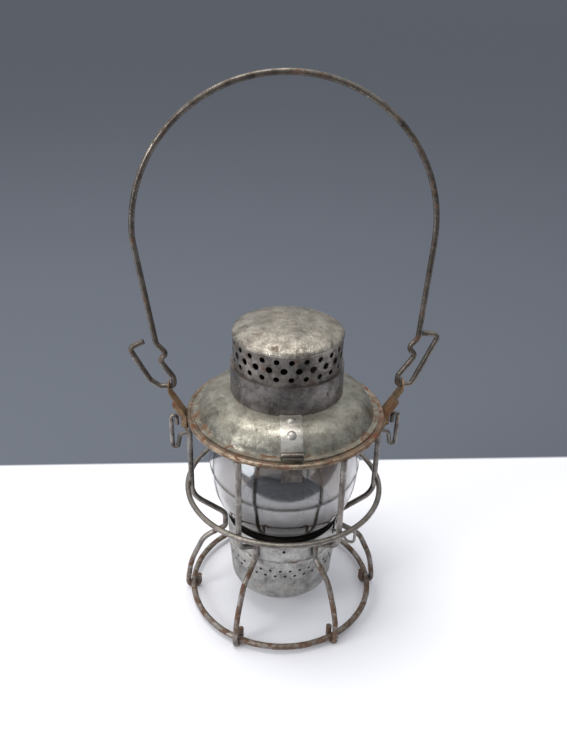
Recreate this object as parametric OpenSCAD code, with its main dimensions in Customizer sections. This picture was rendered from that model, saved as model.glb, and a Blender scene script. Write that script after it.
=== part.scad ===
// Wire-frame railroad hand lantern: welded wire cage, glass globe, hinged vented lid, oil pot and bail.
// Millimetres, +Z up, origin on the floor at the middle of the base, latch side towards -Y, bail ears at +X and -X.

/* [Cage] */
// Radius of the base ring at the middle of its wire
base_ring_r = 78; // [77:0.5:79]
// Wire of the base ring
base_wire_d = 5.0; // [4.8:0.1:5.2]
// Wire of the six uprights
cage_wire_d = 4.6; // [4.4:0.1:4.7]
// Radius of the guard ring at the middle of its wire
guard_ring_r = 79.6; // [79.4:0.1:80]
// Height of the guard ring
guard_ring_z = 116.5; // [112:0.5:122]
// Wire of the guard ring
guard_wire_d = 4.4; // [4:0.1:4.8]
// Radius of the rolled bead of the top ring
top_ring_r = 76; // [75.8:0.1:76.2]
// Height of the rolled bead of the top ring
top_ring_z = 186.1; // [185.9:0.1:186.2]

/* [Pot holder] */
// Outside radius of the straight band
holder_r = 46.2; // [46.1:0.1:46.6]
// Air holes in each of the two rows
air_hole_count = 35; // [24:1:36]
// Air hole diameter
air_hole_d = 2.4; // [1.6:0.1:3]

/* [Globe] */
// Height of the globe
globe_h = 108; // [106:0.5:108]
// Largest radius of the globe
globe_r = 61.5; // [58:0.5:62]
// Glass thickness
glass_t = 3.2; // [2.4:0.1:3.6]

/* [Lid] */
// Holes in each row of the vent band
vent_count = 24; // [18:1:24]
// Diameter of the top and bottom vent holes
vent_d = 4.3; // [3:0.1:4.4]
// Diameter of the middle vent holes
vent_mid_d = 5.3; // [3:0.1:5.4]
// Width of the latch strap and the hinge strap
strap_w = 16; // [15.5:0.1:16.2]

/* [Bail] */
// Wire of the bail
bail_wire_d = 4.2; // [3.8:0.1:4.2]
// Hole in each ear
ear_hole_d = 5.0; // [4.6:0.1:6]
// Height of the bail's pivot
pivot_z = 209.5; // [209:0.1:210]

/* [Burner] */
// Width of the flat wick
wick_w = 16; // [14:0.5:16]
// Wire of the wick raiser
raiser_d = 2.4; // [2:0.1:2.4]

/* [Hidden] */
sheet_t = 0.9;
base_z = 6.8;
hook_r = (base_wire_d + cage_wire_d) / 2 - 0.1;
holder_top = 87.9;
crease_z = 68.1;
globe_z = 85;
globe_arc = ((globe_h / 2) ^ 2 + (globe_r - 38) ^ 2) / (2 * (globe_r - 38));
hinge_y = 80.4;
hinge_z = 190;
latch_y = -70.3;
latch_z = 192;
raiser_az = -30;
raiser_y = 3.2;
raiser_z = 80;
wheel_r = 2.2;
bell_edge = [[69.2, 189.1], [68.6, 190], [68, 191.4], [67.5, 193], [66.4, 195.4], [65, 197.5],
  [63.2, 199.9], [61, 202], [58.6, 203.5], [56, 204.7], [50, 206.7], [43.7, 208]];

function unit(v) = v / norm(v);
function turn(pts, i) = acos(unit(pts[i] - pts[i - 1]) * unit(pts[i + 1] - pts[i]));
function cut_back(pts, rads, i) = rads[i] * tan(turn(pts, i) / 2);
// Outward normal of an outline that runs from the foot up the outside
function side(pts, i) = let (d = pts[min(i + 1, len(pts) - 1)] - pts[max(i - 1, 0)]) [d[1], -d[0]] / norm(d);
function inset(pts, t) = [for (i = [len(pts) - 1:-1:0]) let (p = pts[i] - t * side(pts, i)) [max(p[0], 0), p[1]]];
function arc(cx, cy, r, a, b, n) = [for (i = [0:n]) let (g = a + (b - a) * i / n) [cx + r * cos(g), cy + r * sin(g)]];
function mirror_x(pts) = [for (p = pts) [-p[0], p[1], p[2]]];
// Points of a wire that lies in the X-Z plane
function upright(pts) = [for (p = pts) [p[0], 0, p[1]]];

module place(x, y, z, at) {
  multmatrix([[x[0], y[0], z[0], at[0]], [x[1], y[1], z[1], at[1]], [x[2], y[2], z[2], at[2]], [0, 0, 0, 1]])
    children();
}

module bar(a, b, d) {
  w = unit(b - a);
  u = unit(cross(abs(w[1]) < 0.9 ? [0, 1, 0] : [1, 0, 0], w));
  place(u, cross(w, u), w, a) cylinder(d = d, h = norm(b - a), $fn = 40);
}

module ball(p, d) {
  translate(p) sphere(d = d + 0.06, $fn = 40);
}

module elbow(p, u, v, r, d) {
  g = acos(u * v);
  w = unit(v - (u * v) * u);
  place(-w, u, cross(-w, u), p - r * tan(g / 2) * u + r * w)
    rotate_extrude(angle = g, $fn = 120) translate([r, 0]) circle(d = d, $fn = 40);
}

// Round wire along a line of points, bent to the given radius at each inner point, a ball closing each joint
module wire(pts, rads, d) {
  last = len(pts) - 1;
  for (i = [0:last - 1]) {
    u = unit(pts[i + 1] - pts[i]);
    a = i == 0 ? pts[0] : pts[i] + cut_back(pts, rads, i) * u;
    b = i == last - 1 ? pts[last] : pts[i + 1] - cut_back(pts, rads, i + 1) * u;
    if (norm(b - a) > 0.5) {
      bar(i == 0 ? a : a + 0.05 * u, i == last - 1 ? b : b - 0.05 * u, d);
      if (i > 0) ball(a, d);
      if (i < last - 1) ball(b, d);
    } else ball((a + b) / 2, d);
    if (i > 0) elbow(pts[i], unit(pts[i] - pts[i - 1]), u, rads[i], d);
  }
}

module ring(r, z, d) {
  translate([0, 0, z]) rotate_extrude($fn = 120) translate([r, 0]) circle(d = d, $fn = 40);
}

// Sheet turned about the axis, its outside along the points
module turned_sheet(pts, t) {
  rotate_extrude($fn = 120) polygon(concat(pts, inset(pts, t)));
}

module tube_ring(r_out, r_in, z0, z1) {
  rotate_extrude($fn = 120) translate([r_in, z0]) square([r_out - r_in, z1 - z0]);
}

module hole_row(count, r, z, d, first) {
  for (i = [0:count - 1])
    rotate([0, 0, first + 360 * i / count])
      translate([r - 3, 0, z]) rotate([0, 90, 0]) cylinder(d = d, h = 6, $fn = 24);
}

module base_ring() {
  color("dimgray") ring(base_ring_r, base_z, base_wire_d);
}

module guard_ring() {
  color("dimgray") ring(guard_ring_r, guard_ring_z, guard_wire_d);
}

// Rolled bead with an inner ledge that carries the lid, notched for the latch tongue
module top_ring() {
  color("tan") difference() {
    union() {
      ring(top_ring_r, top_ring_z, 4);
      tube_ring(top_ring_r - 1.4, 69.5, top_ring_z + 0.5, top_ring_z + 1.5);
      tube_ring(top_ring_r - 1.4, top_ring_r - 2.2, top_ring_z - 1.5, top_ring_z + 1.5);
    }
    translate([-8.3, -72, top_ring_z]) cube([16.6, 6, 3]);
  }
}

// Upright wire: bent in under the globe, welded to the pot holder, out again and hooked round the base ring
module cage_wire(az) {
  out = base_ring_r + hook_r;
  in = base_ring_r - hook_r;
  low = base_z - hook_r;
  pts = upright([[76.5, 184.5], [76.5, 103.9], [49, 84.3], [49, 70], [68.2, 57.96], [79.73, 30.95],
    [out, 10.8], [out, low], [in, low], [in, 14]]);
  rotate([0, 0, az]) difference() {
    wire(pts, [0, 18, 8, 5, 22, 70, 15, hook_r, hook_r, 0], cage_wire_d);
    translate([60, -10, -4]) cube([40, 20, 4]);
  }
}

module cage_wire_right() { color("dimgray") cage_wire(0); }
module cage_wire_rear_right() { color("dimgray") cage_wire(60); }
module cage_wire_rear_left() { color("dimgray") cage_wire(120); }
module cage_wire_left() { color("dimgray") cage_wire(180); }
module cage_wire_front_left() { color("dimgray") cage_wire(240); }
module cage_wire_front_right() { color("dimgray") cage_wire(300); }

// Folded strip that leans out from the top ring, with the bail's hole in its rounded head
module ear() {
  intersection() {
    rotate([90, 0, 0]) {
      linear_extrude(height = 12, center = true)
        polygon([[78.2, 172], [79.4, 172], [79.4, 184.6], [91.5, 206], [91.5, 220], [90.3, 220],
          [90.3, 206.3], [78.2, 184.9]]);
      for (s = [-1, 1]) translate([0, 0, 5.4 * s]) linear_extrude(height = 1.2, center = true)
        polygon([[79, 174], [82.4, 176], [82.4, 184], [88.9, 195.3], [87.5, 199.2], [79, 184.6]]);
    }
    difference() {
      union() {
        rotate([90, 0, 90]) linear_extrude(height = 100)
          polygon([[-6, 170], [6, 170], [6, 190], [5, pivot_z], [-5, pivot_z], [-6, 190]]);
        translate([0, 0, pivot_z]) rotate([0, 90, 0]) cylinder(r = 5, h = 100, $fn = 60);
      }
      translate([80, 0, pivot_z]) rotate([0, 90, 0]) cylinder(d = ear_hole_d, h = 20, $fn = 60);
    }
  }
}

module ear_right() { color("sienna") ear(); }
module ear_left() { color("sienna") rotate([0, 0, 180]) ear(); }

module side_hook() {
  pts = upright([[77.6, 166.6], [84, 165], [86.2, 153.2], [90.3, 153.2], [90.6, 182.4], [86.3, 182.4], [86, 174.5]]);
  wire(pts, [0, 3.5, 2, 2, 2.1, 2.1, 0], 3.6);
}

module side_hook_right() { color("dimgray") side_hook(); }
module side_hook_left() { color("dimgray") rotate([0, 0, 180]) side_hook(); }

// Barrel of a hinge, its bore along X
module barrel(x0, x1, y, z, r_out, r_in) {
  translate([x0, y, z]) rotate([0, 90, 0]) difference() {
    cylinder(r = r_out, h = x1 - x0, $fn = 48);
    translate([0, 0, -1]) cylinder(r = r_in, h = x1 - x0 + 2, $fn = 48);
  }
}

module hinge_bracket() {
  color("dimgray") {
    difference() {
      translate([-8, 77.7, 177]) cube([16, 1.1, hinge_z - 177]);
      translate([-5.1, 70, 186.8]) cube([10.2, 20, 10]);
      translate([-9, hinge_y, hinge_z]) rotate([0, 90, 0]) cylinder(r = 1.6, h = 18, $fn = 48);
    }
    barrel(-8, -5.1, hinge_y, hinge_z, 2.2, 1.2);
    barrel(5.1, 8, hinge_y, hinge_z, 2.2, 1.2);
  }
}

module hinge_pin() {
  color("silver") translate([-9, hinge_y, hinge_z]) rotate([0, 90, 0]) cylinder(r = 1.2, h = 18, $fn = 48);
}

// Drawn bowl that takes the oil pot, with two rows of air holes and a notch for the wick raiser
module pot_holder() {
  pts = concat([[0, 19.5]], arc(31.8, 31.3, 11.8, -90, 0, 8), [[holder_r - 0.3, 60], [holder_r, crease_z - 0.9],
    [holder_r - 0.5, crease_z], [holder_r + 0.2, crease_z + 0.9], [holder_r + 0.2, holder_top]]);
  color("gainsboro") difference() {
    union() {
      turned_sheet(pts, sheet_t);
      ring(holder_r - 0.2, holder_top, 2);
    }
    hole_row(air_hole_count, holder_r, 58.3, air_hole_d, -90 + 180 / air_hole_count);
    hole_row(air_hole_count, holder_r - 0.7, 52.5, air_hole_d, -90);
    translate([0, 0, 80]) rotate([0, 0, -92]) rotate([0, 90, 0]) cylinder(d = 2.6, h = 60, $fn = 24);
    rotate([0, 0, raiser_az]) {
      translate([42, raiser_y, raiser_z]) rotate([0, 90, 0]) cylinder(r = 3, h = 8, $fn = 40);
      translate([42, raiser_y - 3, raiser_z]) cube([8, 6, 20]);
    }
  }
}

// Oil pot: drawn body and shoulder joined by a notched seam
module fuel_font() {
  outside = concat([[0, 20.4]], arc(30.5, 31, 10.6, -90, 0, 6), [[42, 65.5], [45, 65.5], [45, 67.5], [42.4, 67.5],
    [38, 68.6], [16.5, 69], [12.4, 69]]);
  inside = concat([[12.4, 68.2], [37.8, 67.8], [41.2, 66.4], [40.3, 31]], arc(30.5, 31, 9.8, 0, -90, 6), [[0, 21.2]]);
  color("silver") difference() {
    rotate_extrude($fn = 120) polygon(concat(outside, inside));
    for (i = [0:11]) rotate([0, 0, 15 + 30 * i]) translate([46.4, 0, 60]) cylinder(r = 3, h = 10, $fn = 24);
  }
}

module font_collar() {
  color("goldenrod") tube_ring(16.5, 12.4, 69, 73);
}

module tube_slot(z0, z1) {
  rotate([0, 0, raiser_az]) translate([-(wick_w + 1.4) / 2, -1.6, z0]) cube([wick_w + 1.4, 3.2, z1 - z0]);
}

module burner_body() {
  color("goldenrod") {
    difference() {
      union() {
        tube_ring(16.8, 0, 73, 74);
        tube_ring(12.3, 11.3, 69.3, 73);
        tube_ring(14.5, 13.7, 74, 83);
        tube_ring(14.5, 0, 83, 84);
      }
      tube_slot(72, 85);
      hole_row(16, 14, 77, 2.4, raiser_az + 11.25);
      rotate([0, 0, raiser_az]) translate([5, raiser_y, raiser_z]) rotate([0, 90, 0])
        cylinder(d = raiser_d + 0.1, h = 20, $fn = 48);
    }
    rotate([0, 0, raiser_az]) difference() {
      translate([-12, 1.7, 74]) cube([1.6, 4, 9]);
      translate([-13, raiser_y, raiser_z]) rotate([0, 90, 0]) cylinder(d = raiser_d + 0.1, h = 5, $fn = 48);
    }
  }
}

// Flat brass tube with a window where the raiser wheels reach the wick
module wick_tube() {
  color("goldenrod") difference() {
    tube_slot(58, 95);
    rotate([0, 0, raiser_az]) {
      translate([-(wick_w + 0.4) / 2, -1.1, 50]) cube([wick_w + 0.4, 2.2, 60]);
      translate([-7, 0, 76.4]) cube([14, 3, 6.6]);
    }
  }
}

module wick() {
  color("ivory") rotate([0, 0, raiser_az]) translate([-wick_w / 2, -0.9, 40]) cube([wick_w, 1.8, 58]);
}

// Slotted dome that draws the air up round the flame
module flame_cone() {
  pts = concat([[17.5, 84], [17.5, 84.6], [16.6, 84.6]], arc(0, 84.6, 16.4, 12, 80, 8));
  color("goldenrod") difference() {
    rotate_extrude($fn = 96) polygon(concat(pts, [[0, 100.7], [0, 100.1]], arc(0, 84.6, 15.8, 80, 0, 8), [[15.8, 84]]));
    rotate([0, 0, raiser_az]) translate([-9.7, -3.7, 88]) cube([19.4, 7.4, 20]);
  }
}

// One wire: the shaft through the burner and its finger loop outside the pot holder
module raiser_shaft() {
  pts = [[-12, raiser_y, raiser_z], [56.5, raiser_y, raiser_z], [56.5, raiser_y, 73.2], [65.5, raiser_y, 73.2],
    [65.5, raiser_y, 86.5]];
  color("dimgray") rotate([0, 0, raiser_az]) wire(pts, [0, 2.2, 4.4, 4.4, 0], raiser_d);
}

// Toothed wheels pressed on the shaft
module raiser_wheels() {
  color("goldenrod") rotate([0, 0, raiser_az]) for (x = [-4.5, 0, 4.5])
    translate([x - 0.6, raiser_y, raiser_z]) rotate([0, 90, 0]) difference() {
      cylinder(r = wheel_r, h = 1.2, $fn = 48);
      for (i = [0:9]) rotate([0, 0, 36 * i]) translate([wheel_r + 0.15, 0, -1]) cylinder(r = 0.5, h = 4, $fn = 16);
      translate([0, 0, -1]) cylinder(d = raiser_d, h = 4, $fn = 48);
    }
}

// Dished plate on a skirt that stands on the oil pot and carries the globe
module globe_seat() {
  color("gray") difference() {
    union() {
      tube_ring(44.5, 19, 84, 84.8);
      tube_ring(44.5, 43.7, 67.5, 84.8);
      tube_ring(42.1, 41.3, 84.8, 87);
    }
    for (k = [0, 1]) for (i = [0:17]) rotate([0, 0, 20 * i + 10 * k]) translate([24.5 + 6 * k, 0, 80])
      cylinder(r = 1.6, h = 8, $fn = 24);
    hole_row(24, 44.5, 73, 3, 7.5);
    rotate([0, 0, raiser_az]) translate([40, raiser_y - 2.2, 60]) cube([10, 4.4, 22]);
  }
}

module globe() {
  mid = globe_z + globe_h / 2;
  half = asin(globe_h / 2 / globe_arc);
  color("lightblue", 0.4) rotate_extrude($fn = 144)
    polygon(concat(arc(globe_r - globe_arc, mid, globe_arc, -half, half, 24),
      arc(globe_r - globe_arc, mid, globe_arc - glass_t, half, -half, 24)));
}

// Drawn bell with its rim flange, slotted for the latch tongue
module bell() {
  color("darkkhaki") difference() {
    union() {
      turned_sheet(bell_edge, sheet_t);
      tube_ring(73, 68.3, 188, 189.1);
    }
    translate([-8.3, -72, 186]) cube([16.6, 3.2, 4.6]);
  }
}

module chimney_collar() {
  color("dimgray") union() {
    tube_ring(43.7, 42.8, 206.6, 230.8);
    tube_ring(43.7, 41.8, 229.9, 230.8);
  }
}

module vent_band() {
  color("darkkhaki") difference() {
    tube_ring(41.8, 41, 229, 255.4);
    hole_row(vent_count, 41.4, 236.8, vent_d, -90);
    hole_row(vent_count, 41.4, 243.8, vent_mid_d, -90 + 180 / vent_count);
    hole_row(vent_count, 41.4, 250.7, vent_d, -90);
  }
}

module dome_cap() {
  pts = [[42.3, 254.9], [42.4, 256], [41.8, 257.4], [40.6, 258.5], [39, 259.3], [34, 261.1], [25, 263.5],
    [12, 265.4], [0, 266]];
  color("darkkhaki") turned_sheet(pts, sheet_t);
}

// Cone under the bell whose flange keeps the globe down
module globe_retainer() {
  color("gray") rotate_extrude($fn = 120)
    polygon([[33.5, 193.4], [41.4, 193.4], [50.4, 206], [49.4, 206.1], [40.9, 194.2], [33.5, 194.2]]);
}

// Strip that lies on the bell, its width cut square
module bell_strap(first, last) {
  pts = [for (i = [last:-1:first]) bell_edge[i]];
  intersection() {
    rotate_extrude($fn = 120) polygon(concat(pts, inset(pts, 1.1)));
    translate([-strap_w / 2, -80, 180]) cube([strap_w, 80, 40]);
  }
}

module latch_strap() {
  color("gainsboro") bell_strap(3, 11);
}

// Riveted strap whose rear end is rolled round the hinge pin
module hinge_strap() {
  color("gainsboro") {
    rotate([0, 0, 180]) bell_strap(3, 11);
    translate([-4.9, 67.9, 192.2]) cube([9.8, hinge_y - 67.9, 1]);
    difference() {
      translate([-4.9, hinge_y - 1, hinge_z]) cube([9.8, 1, 3.2]);
      translate([-6, hinge_y, hinge_z]) rotate([0, 90, 0]) cylinder(r = 1.8, h = 12, $fn = 48);
    }
    barrel(-4.9, 4.9, hinge_y, hinge_z, 2.2, 1.25);
  }
}

module rivet() {
  intersection() {
    translate([0, 0, -3.33]) sphere(r = 4.83, $fn = 60);
    cylinder(r = 3.5, h = 2, $fn = 48);
  }
  translate([0, 0, -1.3]) cylinder(r = 1.5, h = 1.6, $fn = 32);
}

module strap_rivets() {
  color("silver") for (a = [0, 180]) rotate([0, 0, a]) {
    translate([0, -49, 207.95]) rotate([18, 0, 0]) rivet();
    translate([0, -61.3, 203.1]) rotate([40, 0, 0]) rivet();
  }
}

// Spring catch: thumb lip above the rim, tongue down through the slot and a nose under the ledge
module latch_tongue() {
  color("gainsboro") {
    difference() {
      union() {
        translate([-7.5, -71.2, 169]) cube([15, 1, latch_z - 169]);
        translate([-7.5, -73.2, 184.9]) cube([15, 2.4, 1.3]);
        translate([-7.5, -74.4, 190.4]) cube([15, 3.6, 0.9]);
      }
      translate([-9, latch_y, latch_z]) rotate([0, 90, 0]) cylinder(r = 1.4, h = 18, $fn = 48);
    }
    barrel(-7.5, 7.5, latch_y, latch_z, 1.8, 0.95);
  }
}

module latch_pin() {
  color("silver") translate([-8, latch_y, latch_z]) rotate([0, 90, 0]) cylinder(r = 0.9, h = 16, $fn = 40);
}

// Bent wire handle, hooked through both ears with its ends turned back up
module bail() {
  right = upright([[102.4, 253.7], [115.2, 252.8], [97.8, pivot_z], [86.8, pivot_z], [86.8, 217], [98.6, 235.2],
    [92.5, 241.4], [99.2, 249.4], [102.4, 326], [102.4, 330.95]]);
  left = upright([[107.8, 247.8], [118.8, 242.2], [104.8, 215.2], [97.4, pivot_z], [86.8, pivot_z], [86.8, 217],
    [96.6, 231.8], [91.3, 237.7], [98.6, 246], [110.4, 327], [110.4, 330.95]]);
  color("dimgray") union() {
    wire(right, [0, 4, 4, 2.6, 6, 4, 4, 6, 60, 0], bail_wire_d);
    wire(mirror_x(left), [0, 4, 8, 4, 2.6, 6, 4, 3.5, 6, 40, 0], bail_wire_d);
    ball([102.4, 0, 331], bail_wire_d);
    ball([-110.4, 0, 331], bail_wire_d);
    translate([-4, 0, 331]) rotate([90, 0, 0])
      rotate_extrude(angle = 180, $fn = 160) translate([106.4, 0]) circle(d = bail_wire_d, $fn = 40);
  }
}

base_ring();
guard_ring();
top_ring();
cage_wire_right();
cage_wire_rear_right();
cage_wire_rear_left();
cage_wire_left();
cage_wire_front_left();
cage_wire_front_right();
ear_left();
ear_right();
side_hook_left();
side_hook_right();
hinge_bracket();
hinge_pin();
pot_holder();
fuel_font();
font_collar();
burner_body();
wick_tube();
flame_cone();
wick();
raiser_shaft();
raiser_wheels();
globe_seat();
globe();
bell();
chimney_collar();
vent_band();
dome_cap();
globe_retainer();
hinge_strap();
latch_strap();
strap_rivets();
latch_tongue();
latch_pin();
bail();
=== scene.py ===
import math

import bmesh
import bpy
from mathutils import Matrix, Vector, noise


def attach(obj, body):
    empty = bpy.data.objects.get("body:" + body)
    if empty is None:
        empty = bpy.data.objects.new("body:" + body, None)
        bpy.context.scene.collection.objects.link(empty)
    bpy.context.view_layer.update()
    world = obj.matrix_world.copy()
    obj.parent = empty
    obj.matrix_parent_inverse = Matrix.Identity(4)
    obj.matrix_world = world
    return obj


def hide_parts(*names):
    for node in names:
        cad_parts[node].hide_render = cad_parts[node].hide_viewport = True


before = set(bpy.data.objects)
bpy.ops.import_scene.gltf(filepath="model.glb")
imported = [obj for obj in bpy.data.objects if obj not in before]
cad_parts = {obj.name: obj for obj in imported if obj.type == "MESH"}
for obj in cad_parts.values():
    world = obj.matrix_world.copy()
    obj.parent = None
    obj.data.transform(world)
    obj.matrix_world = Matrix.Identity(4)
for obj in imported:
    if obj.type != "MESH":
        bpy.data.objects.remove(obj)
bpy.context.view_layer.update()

# Camera
# The photograph looks down at the lantern from about arm's length, a little left of its latch side.
# Its place, its angles and its lens were fitted to the lantern's rings and rows of holes.
latch_side_turn = math.radians(4.6)
pitch, roll, yaw = 0.5117, 0.0289, -0.005
camera_place = (0, -0.51013, 0.5020)
lens, film_height = 35.993, 36
ahead = Vector((math.sin(yaw) * math.cos(pitch), math.cos(yaw) * math.cos(pitch), -math.sin(pitch)))
across = ahead.cross(Vector((0, 0, 1))).normalized()
above = across.cross(ahead)
level = Matrix((across, above, -ahead)).transposed().to_4x4()
camera = bpy.data.objects.new("camera", bpy.data.cameras.new("camera"))
camera.data.sensor_fit = "VERTICAL"
camera.data.sensor_height = film_height
camera.data.lens = lens
camera.matrix_world = (Matrix.Rotation(-latch_side_turn, 4, "Z") @ Matrix.Translation(camera_place) @ level
                       @ Matrix.Rotation(roll, 4, "Z"))
bpy.context.scene.collection.objects.link(camera)
bpy.context.scene.camera = camera

# Floor and light
# A white sheet with a plain blue-grey ground beyond it, under a large soft lamp overhead, two weaker
# ones on the left and a grey sky that is darker on the right. In front of the sheet the floor is
# grey too, though never to the camera, so that the glass and the metal have something to reflect.
floor_half = 14
sheet_white, ground_blue, room_grey = (0.89, 0.89, 0.93, 1), (0.128, 0.141, 0.167, 1), (0.19, 0.195, 0.22, 1)
far_edge = (0.188, 0.192)
near_edge = (-0.27, -0.29)
sky_right, sky_left, sky_above = (0.11, 0.115, 0.13, 1), (0.5, 0.51, 0.53, 1), (0.78, 0.8, 0.83, 1)
right_to_left = (0.5, -0.9)
low_to_high = (-0.05, 0.75)
lantern_middle = (0, 0, 0.15)
view = bpy.context.scene.view_settings
view.view_transform = "Standard"


def add_node(tree, kind, inputs=(), **settings):
    made = tree.nodes.new(kind)
    for key, value in settings.items():
        setattr(made, key, value)
    for key, value in dict(inputs).items():
        if isinstance(value, bpy.types.NodeSocket):
            tree.links.new(value, made.inputs[key])
        else:
            made.inputs[key].default_value = value
    return made


# While the value goes from low to high, the result goes from to_low to to_high
def graded(tree, value, low=0.0, high=1.0, to_low=0.0, to_high=1.0):
    return add_node(tree, "ShaderNodeMapRange", {"Value": value, "From Min": low, "From Max": high,
                                                 "To Min": to_low, "To Max": to_high}).outputs["Result"]


def mixed(tree, share, first, second, blend_type="MIX"):
    return add_node(tree, "ShaderNodeMix", {0: share, 6: first, 7: second}, data_type="RGBA",
                    blend_type=blend_type).outputs[2]


def maths(tree, operation, *values):
    return add_node(tree, "ShaderNodeMath", dict(enumerate(values)), operation=operation).outputs[0]


def separated(tree, place):
    return add_node(tree, "ShaderNodeSeparateXYZ", {0: place}).outputs


def surface(tree, inputs):
    shader = add_node(tree, "ShaderNodeBsdfPrincipled", inputs)
    add_node(tree, "ShaderNodeOutputMaterial", {"Surface": shader.outputs["BSDF"]})


def new_material(name):
    made = bpy.data.materials.new(name)
    made.use_nodes = True
    made.node_tree.nodes.clear()
    return made, made.node_tree


def lamp(name, at, width, watts, colour):
    made = bpy.data.objects.new(name, bpy.data.lights.new(name, "AREA"))
    made.data.shape = "DISK"
    made.data.size = width
    made.data.energy = watts
    made.data.color = colour
    made.location = at
    made.rotation_euler = (Vector(lantern_middle) - Vector(at)).to_track_quat("-Z", "Y").to_euler()
    bpy.context.scene.collection.objects.link(made)


bm = bmesh.new()
bmesh.ops.create_grid(bm, x_segments=2, y_segments=2, size=floor_half)
floor_mesh = bpy.data.meshes.new("floor")
bm.to_mesh(floor_mesh)
bm.free()
floor = bpy.data.objects.new("floor", floor_mesh)
bpy.context.scene.collection.objects.link(floor)
paper, tree = new_material("floor_paper")
depth = separated(tree, add_node(tree, "ShaderNodeTexCoord").outputs["Object"])["Y"]
tone = mixed(tree, graded(tree, depth, *far_edge), sheet_white, ground_blue)
seen = add_node(tree, "ShaderNodeLightPath").outputs["Is Camera Ray"]
unseen = graded(tree, seen, to_low=1.0, to_high=0.0)
room = maths(tree, "MULTIPLY", graded(tree, depth, *near_edge), unseen)
tone = mixed(tree, room, tone, room_grey)
surface(tree, {"Base Color": tone, "Roughness": 0.95, "Specular IOR Level": 0.1})
floor_mesh.materials.append(paper)

sky = bpy.data.worlds.new("sky")
sky.use_nodes = True
tree = sky.node_tree
towards = separated(tree, add_node(tree, "ShaderNodeTexCoord").outputs["Generated"])
horizon = mixed(tree, graded(tree, towards["X"], *right_to_left), sky_right, sky_left)
glow = mixed(tree, graded(tree, towards["Z"], *low_to_high), horizon, sky_above)
tree.links.new(glow, tree.nodes["Background"].inputs["Color"])
bpy.context.scene.world = sky

lamp("lamp_overhead", at=(-0.3, 0.1, 1.7), width=1.1, watts=16, colour=(1, 0.98, 0.95))
lamp("lamp_left", at=(-1.5, -0.85, 0.95), width=0.8, watts=13, colour=(1, 0.99, 0.97))
lamp("lamp_window", at=(-0.98, -0.6, 0.19), width=0.46, watts=1.7, colour=(0.88, 0.94, 1))

# Base ring, guard ring and uprights
# Round steel wire, bent into rings and six uprights that hook round the base ring, and welded where
# they cross. The tinning has worn to a dull brown-grey, with more rust towards the floor, and the
# tops are paler with dust and a painted highlight.
grime_brown, bare_fleck = (0.028, 0.023, 0.019, 1), (0.72, 0.69, 0.63, 1)
# The tan on upward faces is dust and a painted highlight.
dust_and_highlight_tan, soot_black = (0.42, 0.375, 0.3, 1), (0.011, 0.01, 0.009, 1)
patina_start, patina_blend = 0.72, 0.24
rust_start, rust_blend = 0.78, 0.1
bare_metallic, patina_metallic, rust_metallic = 0.74, 0.4, 0.03
grime_roughness, rust_roughness = 0.12, 0.9
pit_height, knock_height, smear_height = 0.6, 3.2, 1.1
relief_depth = 0.0004
soot_fade = 0.004
weld_gap = 0.000001
dent_passes, dent_edge, dents_per_metre = 4, 0.004, 55
sharp_bend = math.radians(40)
foot_rust = (0.02, 0.095, 0.16)


def speckled(tree, where, scale, detail, roughness=0.5, distortion=0.0):
    made = add_node(tree, "ShaderNodeTexNoise", {"Vector": where, "Scale": scale, "Detail": detail,
                                                 "Roughness": roughness, "Distortion": distortion})
    return made.outputs["Fac"]
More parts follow.
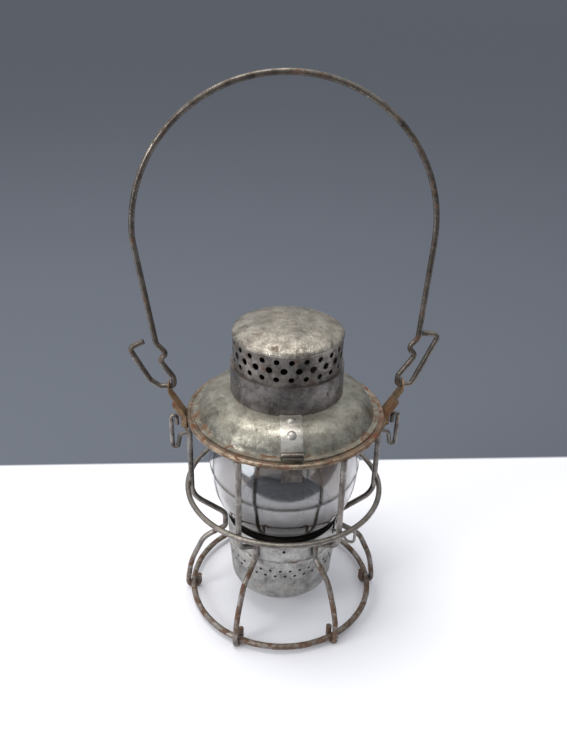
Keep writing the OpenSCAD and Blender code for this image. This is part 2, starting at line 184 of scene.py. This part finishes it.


# Clean sheet under a patina, then grain, grime, bright flecks, dust and a painted highlight on what lies
# flat, rust and soot
def aged_metal_group():
    group = bpy.data.node_groups.new("aged_metal", "ShaderNodeTree")
    for name in ("Clean", "Patina", "Rust"):
        group.interface.new_socket(name, in_out="INPUT", socket_type="NodeSocketColor")
    for name in ("Patina Amount", "Rust Amount", "Grime", "Soot", "Dust And Highlight", "Base Roughness"):
        group.interface.new_socket(name, in_out="INPUT", socket_type="NodeSocketFloat")
    group.interface.new_socket("Color", in_out="OUTPUT", socket_type="NodeSocketColor")
    for name in ("Roughness", "Metallic", "Height"):
        group.interface.new_socket(name, in_out="OUTPUT", socket_type="NodeSocketFloat")
    given = add_node(group, "NodeGroupInput").outputs
    here = add_node(group, "ShaderNodeTexCoord").outputs
    where = here["Object"]
    cloud = speckled(group, where, scale=42, detail=8, roughness=0.62)
    spots = speckled(group, where, scale=120, detail=9, roughness=0.7, distortion=0.5)
    grain = speckled(group, where, scale=900, detail=4, roughness=0.6)
    smear = speckled(group, where, scale=88, detail=12, roughness=0.78, distortion=0.12)
    flecks = speckled(group, where, scale=210, detail=7, roughness=0.82, distortion=0.3)
    clusters = speckled(group, where, scale=30, detail=3)

    patina_low = maths(group, "SUBTRACT", patina_start, given["Patina Amount"])
    patina = graded(group, cloud, patina_low, maths(group, "ADD", patina_low, patina_blend))
    rust_low = maths(group, "SUBTRACT", rust_start, given["Rust Amount"])
    rust = graded(group, spots, rust_low, maths(group, "ADD", rust_low, rust_blend))
    dirt = maths(group, "MULTIPLY", graded(group, smear, 0.57, 0.38), given["Grime"])
    fleck_low = graded(group, clusters, 0.4, 0.7, to_low=0.7, to_high=0.58)
    fleck = graded(group, maths(group, "SUBTRACT", flecks, fleck_low), high=0.07, to_high=0.85)
    # What faces up is lightened: dust, and a painted highlight from light falling from above.
    flat = graded(group, separated(group, here["Normal"])["Z"], 0.45)
    dust_and_highlight_mask = maths(group, "MULTIPLY", flat, given["Dust And Highlight"])

    colour = mixed(group, patina, given["Clean"], given["Patina"])
    shade = graded(group, grain, to_low=0.78, to_high=1.22)
    colour = mixed(group, 1.0, colour, shade, blend_type="MULTIPLY")
    colour = mixed(group, dirt, colour, grime_brown)
    colour = mixed(group, fleck, colour, bare_fleck)
    colour = mixed(group, dust_and_highlight_mask, colour, dust_and_highlight_tan)
    colour = mixed(group, rust, colour, given["Rust"])
    colour = mixed(group, given["Soot"], colour, soot_black)

    cover = maths(group, "MAXIMUM", rust, given["Soot"])
    metallic = graded(group, patina, to_low=bare_metallic, to_high=patina_metallic)
    metallic = graded(group, cover, to_low=metallic, to_high=rust_metallic)
    uneven = graded(group, cloud, to_low=-0.1, to_high=0.12)
    rough = maths(group, "ADD", given["Base Roughness"], uneven)
    rough = maths(group, "MULTIPLY_ADD", dirt, grime_roughness, rough)
    rough = add_node(group, "ShaderNodeMix", {0: cover, 2: rough, 3: rust_roughness}).outputs[0]
    height = maths(group, "MULTIPLY_ADD", rust, pit_height, grain)
    height = maths(group, "MULTIPLY_ADD", cloud, knock_height, height)
    height = maths(group, "MULTIPLY_ADD", smear, smear_height, height)
    add_node(group, "NodeGroupOutput", {"Color": colour, "Roughness": rough, "Metallic": metallic,
                                        "Height": height})
    return group


aged_metal = aged_metal_group()


# A rust band is its height, half its width and what it adds, soot covers what faces inwards, and dust with a
# painted highlight lightens what faces up
def metal(name, clean, patina, rust, patina_amount, rust_amount, roughness, grime=0.5, bump=0.3, dust_and_highlight=0.1,
          rust_band=None, sooty=False):
    made, tree = new_material(name)
    here = add_node(tree, "ShaderNodeTexCoord").outputs
    amount, soot = rust_amount, 0.0
    if rust_band:
        middle, half, extra = rust_band
        away = maths(tree, "ABSOLUTE", maths(tree, "SUBTRACT", separated(tree, here["Object"])["Z"], middle))
        amount = graded(tree, away, high=half, to_low=rust_amount + extra, to_high=rust_amount)
    if sooty:
        outward = add_node(tree, "ShaderNodeVectorMath", {0: here["Object"], 1: lantern_middle},
                           operation="SUBTRACT").outputs[0]
        facing = add_node(tree, "ShaderNodeVectorMath", {0: here["Normal"], 1: outward},
                          operation="DOT_PRODUCT").outputs["Value"]
        soot = graded(tree, facing, soot_fade, -soot_fade)
    aged = add_node(tree, "ShaderNodeGroup", {"Clean": clean + (1,), "Patina": patina + (1,),
                                              "Rust": rust + (1,), "Patina Amount": patina_amount,
                                              "Rust Amount": amount, "Grime": grime, "Soot": soot,
                                              "Dust And Highlight": dust_and_highlight, "Base Roughness": roughness},
                    node_tree=aged_metal).outputs
    relief = add_node(tree, "ShaderNodeBump", {"Strength": bump, "Distance": relief_depth,
                                               "Height": aged["Height"]})
    surface(tree, {"Base Color": aged["Color"], "Roughness": aged["Roughness"],
                   "Metallic": aged["Metallic"], "Normal": relief.outputs["Normal"]})
    return made


# A smoothed copy of a CAD piece, with small dents where the sheet has been knocked
def dress(node, body, material, dent=0):
    bm = bmesh.new()
    bm.from_mesh(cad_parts[node].data)
    bmesh.ops.remove_doubles(bm, verts=bm.verts, dist=weld_gap)
    if dent:
        for _ in range(dent_passes):
            long_edges = [edge for edge in bm.edges if edge.calc_length() > dent_edge]
            if not long_edges:
                break
            bmesh.ops.subdivide_edges(bm, edges=long_edges, cuts=1)
            bmesh.ops.triangulate(bm, faces=[face for face in bm.faces if len(face.verts) > 3])
        for point in bm.verts:
            out = Vector((point.co.x, point.co.y, 0))
            if out.length > 0:
                point.co += out.normalized() * dent * noise.noise(point.co * dents_per_metre)
    for face in bm.faces:
        face.smooth = True
    for edge in bm.edges:
        edge.smooth = len(edge.link_faces) == 2 and edge.calc_face_angle(0) < sharp_bend
    mesh = bpy.data.meshes.new(node + "_dressed")
    bm.to_mesh(mesh)
    bm.free()
    if "custom_normal" in mesh.attributes:
        mesh.attributes.remove(mesh.attributes["custom_normal"])
    mesh.materials.clear()
    mesh.materials.append(material)
    piece = bpy.data.objects.new(node + "_dressed", mesh)
    bpy.context.scene.collection.objects.link(piece)
    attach(piece, body)
    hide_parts(node)


# The high dust amount paints a highlight on the tops of the wires, over a little dust.
cage_steel = metal("cage_steel_worn", clean=(0.29, 0.267, 0.244), patina=(0.12, 0.096, 0.077),
                   rust=(0.11, 0.058, 0.034), patina_amount=0.25, rust_amount=0.19, roughness=0.26,
                   grime=0.8, bump=0.4, dust_and_highlight=0.35, rust_band=foot_rust)
for node in ("base_ring", "guard_ring", "cage_wire_right", "cage_wire_rear_right", "cage_wire_rear_left",
             "cage_wire_left", "cage_wire_front_left", "cage_wire_front_right"):
    dress(node, "frame", cage_steel)

# Top ring
# Sheet steel rolled to a bead round the top of the cage, with the ledge that the lid closes on. The
# uprights reach up to it, and its tinning has gone tan.
ring_steel = metal("ring_steel_tan", clean=(0.34, 0.265, 0.19), patina=(0.2, 0.12, 0.068),
                   rust=(0.13, 0.05, 0.024), patina_amount=0.29, rust_amount=0.29, roughness=0.33,
                   grime=0.75, bump=0.4)
dress("top_ring", "frame", ring_steel)

# Ears and side hooks
# Folded steel strips at the ring's sides, the rustiest pieces here, each with a hole for one end of
# the bail. The wire hooks beside them are welded to the side uprights.
ear_steel = metal("ear_steel_rusty", clean=(0.37, 0.27, 0.16), patina=(0.27, 0.155, 0.075),
                  rust=(0.17, 0.078, 0.032), patina_amount=0.3, rust_amount=0.3, roughness=0.36,
                  grime=0.75, bump=0.5)
for node in ("ear_left", "ear_right"):
    dress(node, "frame", ear_steel)
for node in ("side_hook_left", "side_hook_right"):
    dress(node, "frame", cage_steel)

# Hinge
# A folded bracket on the back of the top ring, tinned like the ring, and a plain steel pin that
# goes through it and through the eye of the lid's strap.
pin_steel = metal("pin_steel_dull", clean=(0.42, 0.4, 0.37), patina=(0.26, 0.22, 0.18),
                  rust=(0.18, 0.08, 0.035), patina_amount=0.16, rust_amount=0.16, roughness=0.38)
dress("hinge_bracket", "frame", ring_steel)
dress("hinge_pin", "frame", pin_steel)

# Pot holder, oil pot and globe seat
# Drawn tinplate: a bowl with two rows of air holes and rust in its crease, the soldered pot that
# stands in it, and the perforated plate that the globe rests on, nearly black with soot and painted
# shade.
crease_rust = (0.0681, 0.0014, 0.12)
tinplate = metal("tinplate_worn", clean=(0.44, 0.435, 0.42), patina=(0.31, 0.295, 0.27),
                 rust=(0.15, 0.08, 0.04), patina_amount=0.24, rust_amount=0.19, roughness=0.32,
                 grime=0.6, bump=0.45, rust_band=crease_rust, sooty=True)
# Nearly black: soot, and painted shade where the seat and the retainer lie in shadow.
sooted_and_shaded_tin = metal("tinplate_sooted_and_shaded", clean=(0.07, 0.066, 0.063), patina=(0.03, 0.027, 0.025),
                   rust=(0.045, 0.024, 0.015), patina_amount=0.3, rust_amount=0.2, roughness=0.45,
                   grime=0.9)
dress("pot_holder", "frame", tinplate, dent=0.00012)
dress("fuel_font", "frame", tinplate)
dress("globe_seat", "frame", sooted_and_shaded_tin)

# Burner
# Spun brass, tarnished brown by heat: the collar on the pot, the body with the shaft's bearings, the
# flat tube for the wick and the slotted dome over it.
brass = metal("brass_tarnished", clean=(0.1, 0.075, 0.042), patina=(0.045, 0.035, 0.023),
              rust=(0.03, 0.032, 0.022), patina_amount=0.32, rust_amount=0.16, roughness=0.4, grime=0.9)
for node in ("font_collar", "burner_body", "wick_tube", "flame_cone"):
    dress(node, "frame", brass)

# Wick raiser
# One steel wire bent to a finger loop outside the cage, with toothed brass wheels on it inside. It
# turns in the burner's bearings and moves the wick.
dress("raiser_shaft", "wick_raiser", pin_steel)
dress("raiser_wheels", "wick_raiser", brass)

# Wick
# Flat woven cotton that slides in the burner's tube, where the raiser's wheels grip it. It is
# stained by oil and charred at its top edge.
oily_dark, oily_pale, charred = (0.42, 0.36, 0.26, 1), (0.76, 0.7, 0.58, 1), (0.015, 0.013, 0.012, 1)
weave_scale = 900
thread_depth = 0.0003
char_foot, char_top = 0.0935, 0.0972
cotton, tree = new_material("wick_cotton")
where = add_node(tree, "ShaderNodeTexCoord").outputs["Object"]
warp, weft = [add_node(tree, "ShaderNodeTexWave", {"Vector": where, "Scale": weave_scale, "Distortion": 0.6},
                       bands_direction=direction).outputs["Fac"] for direction in ("X", "Z")]
weave = maths(tree, "MULTIPLY", warp, weft)
burnt = graded(tree, separated(tree, where)["Z"], char_foot, char_top)
yarn = mixed(tree, burnt, mixed(tree, weave, oily_dark, oily_pale), charred)
threads = add_node(tree, "ShaderNodeBump", {"Strength": 0.6, "Distance": thread_depth, "Height": weave})
surface(tree, {"Base Color": yarn, "Roughness": graded(tree, weave, to_low=0.98, to_high=0.85),
               "Normal": threads.outputs["Normal"]})
dress("wick", "wick", cotton)

# Globe
# Thick clear pressed glass, held between the seat and the lid. A film of dust and soot dulls it in
# patches, it is darker towards the top and darker and less glossy towards its foot, and the pressing
# left the surface a little wavy.
clear_glass, filmed_glass = (0.87, 0.88, 0.89, 1), (0.64, 0.65, 0.66, 1)
darker_top_glass, darker_foot_glass = (0.2, 0.19, 0.18, 1), (0.13, 0.095, 0.07, 1)
darker_top_start, darker_top_full = 0.158, 0.196
darker_foot_start, darker_foot_full = 0.147, 0.129
wave_depth = 0.0008
glass, tree = new_material("globe_glass_clear")
where = add_node(tree, "ShaderNodeTexCoord").outputs["Object"]
film = speckled(tree, where, scale=34, detail=6, roughness=0.6)
wave = speckled(tree, where, scale=26, detail=2)
uneven_height = maths(tree, "MULTIPLY_ADD", film, 0.03, separated(tree, where)["Z"])
# The glass is darker towards the top, and darker and less glossy towards its foot, where the mask is named
# grime.
darker_top = graded(tree, uneven_height, darker_top_start, darker_top_full, to_high=0.75)
grime = graded(tree, uneven_height, darker_foot_start, darker_foot_full)
tint = mixed(tree, film, clear_glass, filmed_glass)
tint = mixed(tree, darker_top, tint, darker_top_glass)
tint = mixed(tree, grime, tint, darker_foot_glass)
pressed = add_node(tree, "ShaderNodeBump", {"Strength": 0.3, "Distance": wave_depth, "Height": wave})
surface(tree, {"Base Color": tint, "Roughness": graded(tree, film, 0.45, 0.8, to_low=0.01, to_high=0.1),
               "Transmission Weight": 1.0, "IOR": 1.5,
               "Coat Weight": graded(tree, grime, to_low=1.0, to_high=0.15), "Coat IOR": 2.0,
               "Coat Roughness": 0.1, "Normal": pressed.outputs["Normal"]})
dress("globe", "frame", glass)

# Bell
# The lid's drawn skirt in tinned sheet, hinged at the back. It is khaki grey with knocks all round,
# and rusty brown where its rim shuts on the ring.
rim_rust = (0.1895, 0.005, 0.12)
bell_steel = metal("bell_steel_khaki", clean=(0.35, 0.34, 0.285), patina=(0.29, 0.275, 0.22),
                   rust=(0.14, 0.075, 0.04), patina_amount=0.3, rust_amount=0.18, roughness=0.24,
                   grime=0.75, bump=0.6, dust_and_highlight=0.18, rust_band=rim_rust, sooty=True)
dress("bell", "lid", bell_steel, dent=0.00035)

# Chimney collar and vent band
# A plain drum of tinned sheet, darkened by heat and rusty where it is soldered on the bell, and the
# perforated band above it, which has gone brown.
solder_rust = (0.2066, 0.004, 0.16)
collar_steel = metal("collar_steel_dark", clean=(0.235, 0.215, 0.205), patina=(0.108, 0.096, 0.092),
                     rust=(0.09, 0.046, 0.025), patina_amount=0.25, rust_amount=0.19, roughness=0.2,
                     grime=0.8, bump=0.6, rust_band=solder_rust, sooty=True)
band_steel = metal("vent_steel_brown", clean=(0.27, 0.25, 0.23), patina=(0.125, 0.107, 0.092),
                   rust=(0.09, 0.048, 0.026), patina_amount=0.28, rust_amount=0.24, roughness=0.36,
                   grime=0.85, bump=0.45, sooty=True)
dress("chimney_collar", "lid", collar_steel, dent=0.0002)
dress("vent_band", "lid", band_steel)

# Dome cap
# A low dome drawn from sheet and seamed over the vent band. It is warm grey and pale on top with
# dust and a painted highlight, with brown spots and shallow dents.
# The high dust amount also paints a highlight on the top of the dome.
dome_steel = metal("dome_steel_warm", clean=(0.5, 0.46, 0.395), patina=(0.26, 0.225, 0.183),
                   rust=(0.12, 0.075, 0.043), patina_amount=0.31, rust_amount=0.21, roughness=0.22,
                   grime=1.0, bump=0.8, dust_and_highlight=0.33, sooty=True)
dress("dome_cap", "lid", dome_steel, dent=0.0002)

# Globe retainer
# A tinplate cone fixed under the bell, whose flange holds the globe down when the lid shuts. It is
# nearly black with soot and with painted shade under the bell.
dress("globe_retainer", "lid", sooted_and_shaded_tin)

# Straps, rivets and latch
# Steel strips riveted over the bell, at the back for the hinge and at the front for the catch, and
# worn brighter than the lid. The catch is a spring strip that turns on a short pin, coloured dark
# as painted shade under the ring.
strap_steel = metal("strap_steel_bare", clean=(0.5, 0.48, 0.44), patina=(0.34, 0.32, 0.28),
                    rust=(0.13, 0.07, 0.036), patina_amount=0.24, rust_amount=0.18, roughness=0.26,
                    grime=0.6, bump=0.5, dust_and_highlight=0.2)
# The catch's dark colour is painted shade: it hangs in shadow under the ring.
catch_steel_shaded = metal("catch_steel_shade_painted", clean=(0.19, 0.172, 0.155), patina=(0.1, 0.083, 0.07),
                    rust=(0.09, 0.046, 0.025), patina_amount=0.26, rust_amount=0.2, roughness=0.32,
                    grime=0.8)
for node in ("hinge_strap", "latch_strap", "strap_rivets"):
    dress(node, "lid", strap_steel)
dress("latch_tongue", "latch", catch_steel_shaded)
dress("latch_pin", "lid", pin_steel)

# Bail
# Hard-drawn steel wire, bent by hand and hooked through the ears. It is a dark brown-grey, with
# black grime and spots of rust.
bail_steel = metal("bail_steel_dark", clean=(0.2, 0.175, 0.148), patina=(0.072, 0.054, 0.042),
                   rust=(0.1, 0.05, 0.027), patina_amount=0.28, rust_amount=0.24, roughness=0.22,
                   grime=0.85)
dress("bail", "bail", bail_steel)
